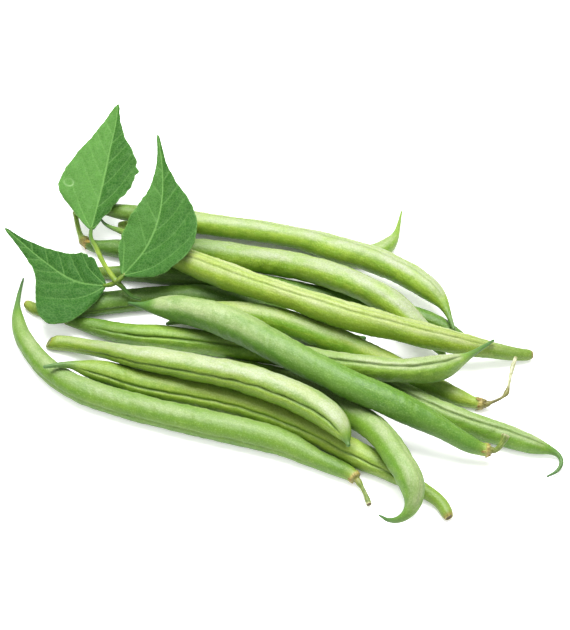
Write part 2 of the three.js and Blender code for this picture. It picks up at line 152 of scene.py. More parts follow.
# The seeds' swellings: how high they are beside each other, and in mm their widths, spacing and margins.
SEED_HEIGHTS = (0.5, 1.3)
SEED_WIDTHS = (3.0, 4.2)
SEED_SPACING = (8.5, 13.0)
SEED_MARGINS = (9, 12)     # how far from the calyx or the cut, and from the beak's point, they keep
# Unevenness of the skin, from long and slow to short and quick: the range of wave numbers per mm along the
# pod, the number of waves round it that none reaches, and the height.
UNEVENNESS = ((0.02, 0.07, 3, 0.009), (0.08, 0.22, 5, 0.005), (0.2, 0.5, 9, 0.0034))
UNEVEN_WAVES = 6      # of each kind
# The end face, from its rim inwards: size as a share of the last ring's, how far it stands out as a share of
# the radius, and then how brown and how papery it is, and how dark it is painted as the shade of its hollow
# middle.
CAP = ((0.985, 0.05), (0.95, 0.09), (0.88, 0.10), (0.80, 0.03), (0.68, -0.06), (0.4, -0.10))
CAP_MIDDLE = -0.12    # how far its middle stands out
CAP_WIDEST = 1.5      # a wider end stands out no further than one of this radius, in mm
CAP_BROWN = {"stalk": (0.5, 0.1, 0.0, 0.6, 1.0, 1.0), "cut": (0.5, 0.5, 0.6, 0.6, 1.0, 1.0)}
CAP_PAPERY = (0.3, 1.0, 1.0, 0.8, 0.0, 0.0)
CAP_SHADE = (0, 0, 0, 0.3, 0.8, 1.0)
# The stalk, in mm: how far from the calyx's edge each change towards it starts, and over what length.
CUP_START = 0.3       # the radius is held to the cup's from here on
STALK_FADE = (0.2, 1.0)     # the pod turns to stalk
NECK = (2.2, 1.2)     # the cup narrows to the stalk
CRISP = (-2.5, 2.0)   # the smoothing of the radii turns from SOFT to SHARP
# The lobes of a calyx: points along and across, and in mm where they start and how thick they are.
FLAP_ROWS = 7
FLAP_COLUMNS = 5
FLAP_ROOT = -0.5
FLAP_THICKNESS = 0.14
# The masks of a pod: places and widths along it are in mm, and those round it in radians.
SEAM_SHADE = (0.09, 7)       # width of the painted shade in the seam, and how fast it darkens with the crease's depth
FURROW_SHADE = (0.06, 14)    # the same for the painted shade in the furrows beside a raised band
SEAM_PALE = 0.36            # width of the paler strip along the seam
BAND_PALE, LINE_PALE = 0.5, 0.08      # how pale it is with a raised band, and without
SHEEN_LEAN = 0.2            # how far to the back, towards the key light, the painted sheen on the upper side leans
SHEEN_FADE = 0.38           # over how much of the cosine the painted sheen fades
UNDER_SHADE_FROM, UNDER_SHADE_FADE = 0.3, 0.8     # at which cosine the painted shade of the duller underside starts, and over how much
CALYX_EDGE = (0.2, 0.7)     # the edge of the calyx: how far past the collar, and its width
CALYX_CUP = (-1.2, 0.8)     # the same for its cup
CUT_PALE = 3.0              # how far along it a pod is paler below a cut


def smoothstep(x):
    """0 up to 0 and 1 from 1 on, with a smooth rise between."""
    x = np.clip(x, 0.0, 1.0)
    return x * x * (3 - 2 * x)


def bell(x, width):
    """1 at 0, fading on both sides over a width."""
    return np.exp(-(x / width) ** 2)


def unit(v):
    """Vectors of length 1 with the directions of v."""
    return v / np.linalg.norm(v, axis=-1, keepdims=True)


# ---------------------------------------------------------------- reading the CAD lofts

def rings_of(node):
    """Middles and radii of the rings of a lofted CAD node, and its end points, in mm, stalk end first."""
    mesh = frame["nodes"][node].data
    co = np.empty(len(mesh.vertices) * 3)
    mesh.vertices.foreach_get("co", co)
    co = co.reshape(-1, 3) / MM
    _, first, same = np.unique(np.round(co, 3), axis=0, return_index=True, return_inverse=True)
    points, same = co[first], same.ravel()
    near = [set() for _ in points]
    for face in mesh.polygons:
        ids = [same[v] for v in face.vertices]
        for a, b in zip(ids, ids[1:] + ids[:1]):
            near[a].add(b)
            near[b].add(a)
    # The two end points have the most neighbours, and each ring is one step further from the first of them.
    poles = sorted(range(len(points)), key=lambda v: -len(near[v]))[:2]
    level, ring, seen = [], {poles[0]}, {poles[0]}
    while ring:
        level.append(sorted(ring))
        ring = {n for v in ring for n in near[v]} - seen
        seen |= ring
    rings = [points[ids] for ids in level[1:-1]]
    middles = np.array([r.mean(0) for r in rings])
    radii = np.array([np.percentile(np.linalg.norm(r - m, axis=1), ROUND_SHARE)
                      for r, m in zip(rings, middles)])
    ends = points[level[0][0]], points[level[-1][0]]
    if radii[0] < radii[-1]:
        middles, radii, ends = middles[::-1], radii[::-1], ends[::-1]
    return middles, radii, ends


def along(points):
    """How far along a line each of its points is."""
    return np.r_[0, np.cumsum(np.linalg.norm(np.diff(points, axis=0), axis=1))]


def curve_through(s, values, at):
    """A smooth curve through values given at s, read at other places."""
    h = np.diff(s)
    rise = np.diff(values, axis=0) / (h[:, None] if values.ndim > 1 else h)
    w = h[:-1] / (h[:-1] + h[1:])
    if values.ndim > 1:
        w = w[:, None]
    slope = np.concatenate([rise[:1], rise[:-1] * (1 - w) + rise[1:] * w, rise[-1:]])
    i = np.clip(np.searchsorted(s, at, side="right") - 1, 0, len(h) - 1)
    hi, t = h[i], (at - s[i]) / h[i]
    if values.ndim > 1:
        hi, t = hi[:, None], t[:, None]
    return (values[i] * (1 + 2 * t) * (1 - t) ** 2 + values[i + 1] * t * t * (3 - 2 * t)
            + hi * (slope[i] * t * (1 - t) ** 2 - slope[i + 1] * t * t * (1 - t)))


def blur(values, s, width):
    """Values given at s, smoothed over a width that shrinks to nothing at the ends."""
    reach = np.minimum(width, np.minimum(s - s[0], s[-1] - s) / 2 + 1e-6)
    kernel = np.exp(-((s[None] - s[:, None]) / reach[:, None]) ** 2) * np.gradient(s)[None]
    kernel /= kernel.sum(1, keepdims=True)
    return kernel @ values


def frames(points):
    """Directions along, up and to the front of a line at each point, and 1 or -1 for their handedness."""
    run = unit(np.gradient(points, axis=0))
    side = unit(np.cross(run, [0.0, 0.0, 1.0]))
    hand = -1.0 if side[len(side) // 2, 1] > 0 else 1.0
    side = side * hand
    rise = unit(np.cross(side, run) * hand)
    return run, rise, side, hand


def rough_line(at, waves, low, high):
    """A smooth uneven line of mean 0, made of waves whose numbers per mm lie between low and high."""
    line = np.zeros_like(at)
    for _ in range(waves):
        size = rng.uniform(0.5, 1.0)
        line = line + size * np.sin(TURN * at * rng.uniform(low, high) + rng.uniform(*ANY_PHASE))
    return line / math.sqrt(waves)


# ---------------------------------------------------------------- meshes

class Build:
    """Collects grids of points into one mesh, with a value of each mask and a grain place at each point.

    The grain is where a point lies in the piece's own growth, in mm: how far along, and where across.
    """

    MASKS = ("stalk", "papery", "brown", "tan", "pale", "crease", "tip", "end_shade", "under", "painted_sheen", "vein",
             "shade", "drop_glint")

    def __init__(self):
        self.points, self.faces, self.slots, self.grain = [], [], [], []
        self.masks = {m: [] for m in self.MASKS}
        self.count = 0

    def join(self, quads, slot=0, flip=False):
        """Adds faces, each a row of four point numbers."""
        self.faces += (quads[:, ::-1] if flip else quads).tolist()
        self.slots += [slot] * len(quads)

    def grid(self, points, wrap, masks=None, slot=0, flip=False, grain=None):
        """Adds rows by columns of points; wrap joins the last column to the first."""
        rows, cols = points.shape[:2]
        ids = np.arange(rows * cols).reshape(rows, cols) + self.count
        if wrap:
            ids = np.concatenate([ids, ids[:, :1]], 1)
        quads = np.stack([ids[:-1, :-1], ids[:-1, 1:], ids[1:, 1:], ids[1:, :-1]], -1)
        self.join(quads.reshape(-1, 4), slot, flip)
        self.points.append(points.reshape(-1, 3))
        self.grain.append((points if grain is None else grain).reshape(-1, 3))
        for m in self.MASKS:
            value = np.broadcast_to(np.asarray((masks or {}).get(m, 0.0), float), (rows, cols))
            self.masks[m].append(value.reshape(-1))
        self.count += rows * cols
        return ids

    def fan(self, ring, point, slot=0, flip=False, masks=None, grain=None):
        """Closes a ring of point numbers with one point."""
        self.points.append(np.asarray(point, float).reshape(1, 3))
        self.grain.append(np.asarray(point if grain is None else grain, float).reshape(1, 3))
        for m in self.MASKS:
            self.masks[m].append(np.array([float((masks or {}).get(m, 0.0))]))
        faces = [[a, b, self.count] for a, b in zip(ring[:-1], ring[1:])]
        self.faces += [f[::-1] for f in faces] if flip else faces
        self.slots += [slot] * len(faces)
        self.count += 1

    def mesh(self, name, materials):
        """The object of all that was added; masks that are 0 everywhere are left out."""
        mesh = bpy.data.meshes.new(name)
        mesh.from_pydata((np.concatenate(self.points) * MM).tolist(), [], self.faces)
        mesh.polygons.foreach_set("use_smooth", [True] * len(mesh.polygons))
        mesh.polygons.foreach_set("material_index", self.slots)
        for m in self.MASKS:
            values = np.concatenate(self.masks[m])
            if values.any():
                mesh.attributes.new(m, "FLOAT", "POINT").data.foreach_set("value", values)
        grain = mesh.attributes.new("grain", "FLOAT_VECTOR", "POINT")
        grain.data.foreach_set("vector", np.concatenate(self.grain).reshape(-1))
        for material in materials:
            mesh.materials.append(material)
        mesh.update()
        piece = bpy.data.objects.new(name, mesh)
        bpy.context.scene.collection.objects.link(piece)
        return piece


# ---------------------------------------------------------------- the pods

def ring_places(length, collar):
    """How far along a fine pod its rings are, in mm."""
    near = np.r_[np.arange(0, END_REACH, STEP_END), np.arange(END_REACH, length - END_REACH, STEP),
                 np.arange(length - END_REACH, length, STEP_END), length]
    if not collar:
        return near
    near = np.r_[near, np.arange(collar - END_REACH, collar + END_REACH, STEP_END)]
    near = np.unique(np.round(near, 2))
    return near[near < length]


def ring_radii(raw, near, look):
    """Radii of the rings from those of the loft, and a share that is 1 on the stalk and 0 on the pod."""
    collar = look["collar"]
    if not collar:
        return blur(raw, near, SOFT), np.zeros_like(near)
    raw = np.where(near < collar - CUP_START, np.minimum(raw, look["cup"]), raw)
    soft, sharp = blur(raw, near, SOFT), blur(raw, near, SHARP)
    crisp, neck, stalk = (smoothstep((collar - start - near) / length)
                          for start, length in (CRISP, NECK, STALK_FADE))
    narrow = neck * (1 - look["thin"])
    return soft * (1 - crisp) + sharp * crisp * (1 - narrow), stalk


class Pod:
    """The shape and the masks of one fine pod over its CAD loft.

    Its arrays have a row for each ring, from the stalk end to the beak, and those that are more than one wide
    have a column for each point round it.
    """

    def __init__(self, node, look):
        middles, radii, ends = rings_of(node)
        s = along(middles)
        near = ring_places(s[-1], look["collar"])
        self.look, self.near, self.length, self.beak_point = look, near, s[-1], ends[1]
        smoothing = np.where(near < look["collar"] - 1, STALK_SOFT, LINE_SOFT)
        self.line = blur(curve_through(s, middles, near), near, smoothing)
        raw = np.maximum(curve_through(s, radii, near), LEAST_RADIUS)
        self.radius, stalk = ring_radii(raw, near, look)
        self.run, self.rise, self.side, self.hand = frames(self.line)

        seam_start, seam_end = look["seam"]
        turn = np.radians(seam_start + (seam_end - seam_start) * near / self.length)
        turn = turn + SEAM_SWAY * rough_line(near, 6, 0.02, 0.14)
        u = np.linspace(0, TURN, AROUND, endpoint=False)
        self.phi = u - 0.45 * np.sin(u)                       # from the seam round, closer together near it
        self.off = np.abs(np.where(self.phi > math.pi, self.phi - TURN, self.phi))[None]
        self.angle = turn[:, None] + self.phi[None]           # from straight up round to the front

        self.here = near[:, None]
        # Shares that are 1 on the fleshy body, 1 on the thin beak, and 1 where the seam is at its deepest.
        share = self.radius / radii.max()
        self.body = smoothstep((share - 0.35) / 0.35)[:, None] * (1 - stalk[:, None])
        self.beak = smoothstep(1 - share / 0.55)[:, None] * (near > self.length / 2)[:, None]
        self.opened = smoothstep((near - look["collar"] - OPENING[0]) / OPENING[1])[:, None]
        self.reach = self.radius[:, None] * self.relief()

    def relief(self):
        """How far out the skin lies, as a share of the radius."""
        look, near, off, body, opened = self.look, self.near, self.off, self.body, self.opened
        crease, lobe, ridge = look["crease"], look["lobe"], look["ridge"]
        depth = (1 + 0.25 * rough_line(near, 5, 0.03, 0.2))[:, None] * opened
        shape = (1 - body * crease * depth * bell(off, CREASE_WIDTH)
                 + body * lobe * opened * bell(off - LOBE_AT, LOBE_WIDTH))
        band = ridge * opened * bell(off, RIDGE_WIDTH)
        shape += body * (band - FURROW_DEPTH * ridge * depth * bell(off - FURROW_AT, FURROW_WIDTH))
        shape -= body * BACK_SEAM * bell(off - math.pi, CREASE_WIDTH)
        if look["collar"]:
            shape -= CALYX_GROOVE * bell(near - look["collar"] - 0.1, 0.28)[:, None]
        flank = 0.45 + 0.55 * np.sin(off) ** 2
        shape += body * look["seeds"] * (self.seeds()[:, None] - 0.6) * flank
        for low, high, most, height in UNEVENNESS:
            for _ in range(UNEVEN_WAVES):
                around = rng.integers(1, most) * self.phi[None] + rng.uniform(*ANY_PHASE)
                shape += body * height * np.sin(TURN * self.here * rng.uniform(low, high) + around)
        return shape

    def seeds(self):
        """Low swellings over the seeds, unevenly spaced."""
        swelling = np.zeros_like(self.near)
        at = self.look["collar"] + SEED_MARGINS[0]
        while at < self.length - SEED_MARGINS[1]:
            height = rng.uniform(*SEED_HEIGHTS)
            swelling += height * bell(self.near - at, rng.uniform(*SEED_WIDTHS))
            at += rng.uniform(*SEED_SPACING)
        return swelling

    def surface(self):
        """The points of the skin; none lies below the surface that the pile rests on."""
        up, front = self.reach * np.cos(self.angle), self.reach * np.sin(self.angle)
        points = (self.line[:, None] + up[..., None] * self.rise[:, None]
                  + front[..., None] * self.side[:, None])
        lean = self.look["slant"] * bell(self.near, 2.0)[:, None] * up
        points = points + lean[..., None] * self.run[:, None]
        points[..., 2] = np.maximum(points[..., 2], 0.0)
        return points

    def grain(self):
        """Where each point of the skin lies in the pod's growth."""
        reach, phi = self.reach, self.phi
        place = np.stack([self.here + 0 * reach, reach * np.cos(phi), reach * np.sin(phi)], -1)
        return place + [rng.uniform(*GRAIN_SHIFT), 0, 0]

    def masks(self):
        """How far each look applies, at each point or ring. Widths along the pod are in mm."""
        look, here, off, body = self.look, self.here, self.off, self.body
        up, sheen_up = np.cos(self.angle), np.cos(self.angle + SHEEN_LEAN)
        from_collar, from_beak = here - look["collar"], self.length - here
        seam = (bell(off, SEAM_SHADE[0]) * min(1, look["crease"] * SEAM_SHADE[1])
                + bell(off - FURROW_AT, FURROW_SHADE[0]) * min(1, look["ridge"] * FURROW_SHADE[1]))
        strip = bell(off, SEAM_PALE) * (BAND_PALE if look["ridge"] else LINE_PALE)
        sheen_start, sheen_end = look["painted_sheen"]
        painted_sheen = sheen_start + (sheen_end - sheen_start) * here / self.length
        end_shade, end_shade_reach = look["end_shade"]
        beak_shade, beak_reach = look["beak_shade"]
        end, end_reach = look["end"]
        masks = {
            # painted shade in the seam's groove and the furrows, darker where they are deeper
            "crease": np.clip(body * seam * self.opened, 0, 1),
            "tip": self.beak * look["tip"],
            # painted sheen: pale on the side that faces up and back towards the key light
            "painted_sheen": body * smoothstep((sheen_up - look["cover"]) / SHEEN_FADE) * painted_sheen,
            # painted shade on the underside, away from the key light
            "under": body * smoothstep((UNDER_SHADE_FROM - up) / UNDER_SHADE_FADE),
            # painted shade at ends that lie under a leaflet or another pod
            "end_shade": (end_shade * smoothstep(1.2 - from_collar / end_shade_reach)
                     + beak_shade * smoothstep(1.2 - from_beak / beak_reach)),
            "pale": bell(from_collar, end_reach) * end + body * strip,
        }
        if look["collar"]:
            tan, brown, brown_cup = CALYXES[look["calyx"]]
            edge, cup = (bell(from_collar - at, width) for at, width in (CALYX_EDGE, CALYX_CUP))
            masks["stalk"] = smoothstep((look["collar"] + 0.1 - here) / 0.5)
            masks["tan"] = tan * edge
            masks["papery"] = np.maximum(smoothstep((look["papery"] - here) / 1.5), 0.8 * bell(here, 0.4))
            masks["brown"] = np.clip(brown * edge + 0.2 * bell(here - 0.2, 0.3) + brown_cup * cup, 0, 1)
        else:
            cut = CUTS[look["cut"]]
            masks["brown"] = bell(here, cut["reach"]) * cut["brown"]
            masks["pale"] = np.clip(masks["pale"] + bell(here, CUT_PALE) * cut["pale"], 0, 1)
        return masks


def close_end(made, fine, ring, ids, grain):
    """The end of the stalk, or the cut: a rim, and a face that is sunk a little."""
    centre, out, radius = ring.mean(0), -fine.run[0], fine.radius[0]
    rim = ring - centre
    cap = np.array([centre + rim * size + out * (rise * min(CAP_WIDEST, radius)) for size, rise in CAP])
    cap[..., 2] = np.maximum(cap[..., 2], 0.0)
    on_stalk = 1.0 if fine.look["collar"] else 0.0
    cut = CUTS[fine.look["cut"]]
    brown, papery, dark = (np.array(shares)[:, None] for shares in
                           (CAP_BROWN["stalk" if on_stalk else "cut"], CAP_PAPERY, CAP_SHADE))
    # the sunken middle of the face is painted dark as the shade of its hollow
    masks = {"brown": brown * cut["face"], "papery": papery * on_stalk, "crease": dark * cut["dark"],
             "pale": 0.8, "stalk": on_stalk}
    cap_grain = grain + np.zeros((len(CAP), 1, 1))
    cap_ids = made.grid(cap, True, masks, flip=fine.hand > 0, grain=cap_grain)
    made.join(np.stack([ids[:-1], ids[1:], cap_ids[0, 1:], cap_ids[0, :-1]], -1), flip=fine.hand > 0)
    made.fan(cap_ids[-1], centre + out * CAP_MIDDLE * radius, flip=fine.hand > 0,
             masks={"brown": cut["face"], "pale": 0.8}, grain=grain.mean(0))


def flaps(made, fine):
    """The dried lobes of the calyx, lying over the end of the pod."""
    i = int(np.searchsorted(fine.near, fine.look["collar"] + 0.2))
    centre, run, radius = fine.line[i], fine.run[i], fine.radius[i]
    count, reach, flare = fine.look["flaps"]
    v = np.linspace(0, 1, FLAP_ROWS)          # from a lobe's root to its tip
    w = np.linspace(-1, 1, FLAP_COLUMNS)      # and across it
    for k in range(count):
        turn = TURN * (k + rng.uniform(-0.2, 0.2)) / count
        long = reach * rng.uniform(0.75, 1.25)
        wide = reach * rng.uniform(0.25, 0.38)
        lift = flare * rng.uniform(0.2, 0.8)
        out = math.cos(turn) * fine.rise[i] + math.sin(turn) * fine.side[i]
        across = np.cross(out, run)
        width = wide * np.sqrt(np.clip(1 - v ** 1.6, 0.003, 1))
        away = radius * 0.93 + lift * v ** 2 * 1.4 + 0.22 * v
        middle = centre + np.outer(FLAP_ROOT + v * long, run) + np.outer(away, out)
        top = middle[:, None] + (width[:, None] * w[None])[..., None] * across
        top = top - (0.28 * (w[None] ** 2) * wide * (1 - v[:, None] * 0.5))[..., None] * out
        low = top - FLAP_THICKNESS * out
        shell = np.concatenate([top, low[:, ::-1]], 1)
        shell[..., 2] = np.maximum(shell[..., 2], 0.02)
        ids = made.grid(shell, True, slot=1, flip=fine.hand > 0)
        made.fan(ids[0], shell[0].mean(0), slot=1, flip=fine.hand < 0)
        made.fan(ids[-1], shell[-1].mean(0), slot=1, flip=fine.hand > 0)


def pod(node, look, skin, calyx):
    """One fine pod over its CAD loft."""
    fine = Pod(node, look)
    points, grain = fine.surface(), fine.grain()
    made = Build()
    ids = made.grid(points, True, fine.masks(), flip=fine.hand < 0, grain=grain)
    close_end(made, fine, points[0], ids[0], grain[0])
    made.fan(ids[-1], fine.beak_point, flip=fine.hand < 0, masks={"tip": 1.0}, grain=grain[-1].mean(0))
    if look["collar"]:
        flaps(made, fine)
    piece = made.mesh(node + "_fine", [skin, calyx])
    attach(piece, "root")
    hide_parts(node)


# ---------------------------------------------------------------- the leaf

# The leaflets as the CAD model has them, in mm. rib: the midrib from base to tip; left, right: how wide the
#   blade is on each side of it, at the shares WIDTH_AT of its length; slope: how the blade leans in x and y;
#   fold: how steeply its halves rise from the midrib.
# shade: how far the left half and the right half turn to the deep green, the step between them being painted
# shade
#   from the fold along the midrib; ragged: how uneven their edges are, in mm.
# drop: where a ring of painted highlight stands for the glints of a water drop, along the midrib and across.
WIDTH_AT = np.array([0, 0.05, 0.12, 0.2, 0.28, 0.36, 0.45, 0.55, 0.65, 0.77, 0.89, 1])
LEAFLETS = [
    dict(slope=(0, 0.36), fold=0.15, shade=(0.05, 0.88), ragged=(0.10, 0.5), drop=(14.5, -11.0),
         rib=[[-64.3, 37, 10.2], [-61, 52, 15.5], [-59, 64, 19.7], [-57.2, 74, 23.3], [-56.6, 80.5, 25.6]],
         left=[1, 4.4, 8, 12.6, 14.3, 13.8, 12.6, 10.5, 8.2, 5.4, 2.9, 0.5],
         right=[1, 2, 3.4, 5.6, 7.8, 9.6, 10.7, 10, 7.4, 3.4, 1.2, 0.5]),
    dict(slope=(0.05, 0.36), fold=0.15, shade=(0.55, 0.85), ragged=(0.15, 0.18), drop=None,
         rib=[[-52.1, 12, 15.6], [-45.5, 19.7, 18.7], [-41.8, 27.8, 21.8], [-40.2, 35.6, 24.7],
              [-40, 44.4, 27.9], [-41, 53, 30.9], [-42, 58.5, 32.9]],
         left=[1, 4, 7.4, 8.8, 9.1, 9, 8, 6.1, 4, 2.2, 1, 0.5],
         right=[1, 4.8, 8.9, 12, 13.9, 14.1, 12.7, 9.4, 5.2, 1.9, 0.9, 0.5]),
    dict(slope=(0, 0.25), fold=0.08, shade=(0.92, 1.0), ragged=(0.2, 0.3), drop=None,
         rib=[[-58, 11.8, 10.6], [-66.4, 12.9, 10.9], [-71.7, 15.4, 11.5], [-77, 19.3, 12.5],
              [-82.6, 24, 13.6], [-87.4, 28.4, 14.7], [-92, 32.5, 15.7]],
         left=[1, 5.2, 9.8, 15.8, 18, 14.4, 8.8, 4.9, 3.4, 2.1, 1.2, 0.5],
         right=[1, 4.8, 8.8, 9.5, 9.6, 9.1, 7.4, 5.2, 3.6, 2, 0.9, 0.5]),
]
# The leaf's stalks: x, y, z and radius, in mm, and how dark each is at even steps from end to end; at the
# main stalk's far end, under the top pod's tip, that is painted shade.
STEMS = [
    [[-64.3, 37.5, 10.1, 0.6], [-64.2, 33.4, 10.6, 0.7], [-62, 27.4, 11.6, 0.8], [-58.9, 19.5, 12.6, 0.8],
     [-55.9, 13.8, 13.2, 0.9], [-54.2, 11.4, 13, 1.0], [-52.4, 10.5, 11.3, 0.75], [-49.5, 8.9, 8.7, 0.55],
     [-46.6, 8.6, 7.6, 0.45]],
    [[-54.4, 11.4, 13, 0.9], [-53.2, 11.4, 14.4, 0.85], [-51.6, 12.6, 15.6, 0.6]],
    [[-54.2, 11.6, 13, 0.9], [-56.2, 11.6, 11.6, 0.85], [-58.7, 11.9, 10.5, 0.6]],
]
STEM_SHADES = [(1.0, 0.8, 0.2, 0.0, 0.1, 1.0, 1.0), (0.4, 0.6), (0.3, 0.6)]

LEAF_ROWS = 150       # points of a leaflet along its midrib
LEAF_COLUMNS = 81     # and across it
LEAF_HALF = 0.18      # half the thickness of a leaflet, in mm
VEIN_FURROW = 0.10    # how deep the veins lie in its upper face, in mm
VEIN_RIB = 0.24       # how far they stand out below, in mm
SWELL = 0.50          # how far it rises between its veins, in mm
WAVE = 0.5            # how far its edge waves up and down, in mm
WAVE_TURNS = (0.22, 0.42, 0.75)      # radians per mm of those waves
# Veins: two strong ones leave the base, and the others leave the midrib in turn, all bending towards the tip.
# For each pair: its start as a share of the length, its slope, its bend per mm, and its strength.
VEINS = [(0.0, 1.05, 0.040, 1.0)] + [(0.17 + 0.17 * k, 1.05 + 0.05 * k, 0.065, 0.62) for k in range(4)]
STAGGER = 0.06        # how much further up the left one of a pair starts, as a share of the length
VEIN_FADE = 16.0      # how far from the midrib a vein has faded, in mm
MIDRIB = (0.26, 0.12)       # half width of the midrib at its base, and how much less it is at the tip, in mm
VEIN = (0.18, 0.006, 0.1)   # half width of a vein, how much less it is for each mm out, and the least
DROP_RADIUS = 1.5     # of the ring of painted highlight that stands for the glints of a water drop, in mm
DROP_WIDTH = 0.22
STEM_AROUND = 18      # points round a stalk
STEM_STEP = 0.35      # spacing of its rings, in mm
STEM_END = 0.4        # how far its rounded ends stand out, as a share of its radius


def vein_field(x, y, length):
    """The vein mask of a leaflet, and how far, in mm, each point is from the nearest of its veins."""
    side = np.abs(x)
    mask = bell(side, MIDRIB[0] - MIDRIB[1] * y / length)
    away = side
    width = np.maximum(VEIN[0] - VEIN[1] * side, VEIN[2])
    for start, slope, bend, strength in VEINS:
        stagger = np.where(x > 0, 0.0, STAGGER * length if start else 0.0)
        gap = y - (start * length + stagger + slope * side + bend * side ** 2)
        distance = np.abs(gap) / np.sqrt(1 + (slope + 2 * bend * side) ** 2)
        mask = np.maximum(mask, strength * np.exp(-side / VEIN_FADE) * bell(distance, width))
        away = np.minimum(away, distance)
    return mask, away


def blade_width(given, ragged, at, share, length):
    """How wide a half of a leaflet is along its midrib, with an uneven edge and a rounded tip."""
    smooth = blur(curve_through(WIDTH_AT, np.array(given, float), share), at, 1.2)
    edge = ragged * rough_line(at, 9, 0.08, 0.45) + 0.05 * rough_line(at, 8, 0.5, 1.2)
    return (smooth + edge * np.clip(smooth / 6, 0, 1)) * np.sqrt(np.clip((length - at) / 1.6, 0.0004, 1))


def leaflet(made, rib, left, right, slope, fold, shade, ragged, drop):
    """A thin blade with two faces, folded along its midrib and raised between its veins."""
    rib = np.array(rib) - PILE_MIDDLE
    s = along(rib)
    length = s[-1]
    share = 1 - np.linspace(1, 0, LEAF_ROWS) ** 1.12          # closer together towards the tip
    at = share * length
    line = blur(curve_through(s, rib, at), at, 2.0)
    normal = unit(np.array([-slope[0], -slope[1], 1.0]))
    side = unit(np.cross(np.gradient(line, axis=0), normal))
    w = np.linspace(-1, 1, LEAF_COLUMNS)                      # -1 on the left edge, 1 on the right one
    w = (np.sign(w) * np.abs(w) ** 0.85)[None]
    width_left = blade_width(left, ragged[0], at, share, length)[:, None]
    width_right = blade_width(right, ragged[1], at, share, length)[:, None]
    width = np.where(w < 0, width_left, width_right)
    x = w * width
    y = at[:, None] + 0 * x

    veins, away = vein_field(x, y, length)
    edge = np.abs(w) ** 3 * np.clip(width / 6, 0, 1)
    swell = SWELL * (1 - bell(away, 1.5)) * (1 - np.abs(w) ** 6)
    wave = np.zeros_like(x)
    for turns in WAVE_TURNS:
        size = rng.uniform(0.3, 0.8)
        wave += size * np.sin(y * turns + rng.uniform(*ANY_PHASE) + np.sign(x) * rng.uniform(0, 3))
    height = fold * np.abs(x) + swell + WAVE * edge * wave
    middle = line[:, None] + x[..., None] * side[:, None] + height[..., None] * normal
    half = LEAF_HALF * (1 - 0.5 * edge)
    rim = 0.6 * smoothstep((np.abs(x) - width + 0.45) / 0.3) * (width > 3)
    veins = np.maximum(veins, rim)                            # the edge is pale and firm, as a vein is
    upper = middle + (half - VEIN_FURROW * veins)[..., None] * normal
    lower = middle - (half + VEIN_RIB * veins * (1 - 0.5 * y / length))[..., None] * normal

    grain = np.stack([y, x, 0 * x], -1) + [rng.uniform(*GRAIN_SHIFT), 0, 0]
    # the halves differ by painted shade from the fold
    masks = {"vein": veins, "shade": shade[0] + (shade[1] - shade[0]) * smoothstep(x / 1.5 + 0.5)}
    if drop:
        from_ring = np.hypot(y - drop[0], x - drop[1]) - DROP_RADIUS
        round_ring = np.arctan2(y - drop[0], x - drop[1])
        # brighter on one side, as a drop's painted highlight
        masks["drop_glint"] = bell(from_ring, DROP_WIDTH) * (0.6 + 0.4 * np.cos(round_ring + 1.0))
    top = made.grid(upper, False, masks, slot=0, grain=grain)
    bottom = made.grid(lower, False, masks, slot=1, flip=True, grain=grain)
    # The rim between the two faces.
    a, b = (np.concatenate([ids[0], ids[1:, -1], ids[-1, -2::-1], ids[-2:0:-1, 0], ids[0, :1]])
            for ids in (top, bottom))
    made.join(np.stack([a[:-1], b[:-1], b[1:], a[1:]], -1), slot=1)


def stem(made, stations, shades):
    """A stalk of the leaf, with a shallow furrow along its top."""
    stations = np.array(stations)
    points, radii = stations[:, :3] - PILE_MIDDLE, stations[:, 3]
    s = along(points)
    near = np.linspace(0, s[-1], int(s[-1] / STEM_STEP) + 2)
    line, radius = curve_through(s, points, near), curve_through(s, radii, near)
    run, rise, side, hand = frames(line)
    phi = np.linspace(0, TURN, STEM_AROUND, endpoint=False)
    shape = 1 - 0.16 * bell(np.minimum(phi, TURN - phi), 0.5) + 0.03 * np.cos(5 * phi)
    reach = radius[:, None] * shape[None]
    tube = (line[:, None] + (reach * np.cos(phi))[..., None] * rise[:, None]
            + (reach * np.sin(phi))[..., None] * side[:, None])
    grain = np.stack([near[:, None] + 0 * reach, reach * np.cos(phi), reach * np.sin(phi)], -1)
    shade = np.interp(near / s[-1], np.linspace(0, 1, len(shades)), shades)[:, None]
    ids = made.grid(tube, True, {"shade": shade}, slot=2, flip=hand < 0, grain=grain)
    made.fan(ids[0], line[0] - STEM_END * radius[0] * run[0], slot=2, flip=hand > 0)
    made.fan(ids[-1], line[-1] + STEM_END * radius[-1] * run[-1], slot=2, flip=hand < 0)


def leaf(upper, under, stalk):
    """The leaf, one piece: three leaflets on their stalks."""
    made = Build()
    for form in LEAFLETS:
        leaflet(made, **form)
    for stations, shades in zip(STEMS, STEM_SHADES):
        stem(made, stations, shades)
    piece = made.mesh("leaf_sprig_fine", [upper, under, stalk])
    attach(piece, "root")
    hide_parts("leaf_sprig")


# ---------------------------------------------------------------- materials

# Colours that all pods share, and then the leaf's. A tint multiplies what it is laid on, and a pair is a
# darkest and a lightest colour.
LIGHTER = (1.7, 1.32, 2.2)          # a pod's lighter patches, times its main green
STREAK_GREEN = (0.11, 0.25, 0.02)
YELLOWED = (0.36, 0.42, 0.03)
END_YELLOW = (0.34, 0.42, 0.06)
# painted shade at a pod's shaded ends
END_SHADE_GREEN = (0.075, 0.175, 0.012)
# painted shade on a pod's underside
UNDERSIDE_SHADE_TINT = (0.58, 0.70, 0.38)
# painted shade in fine pits, then pale flecks that are partly the skin's own and partly painted glints
PIT_SHADE_TINT = (0.70, 0.78, 0.50)
FLECK_AND_GLINT = (0.46, 0.56, 0.26)
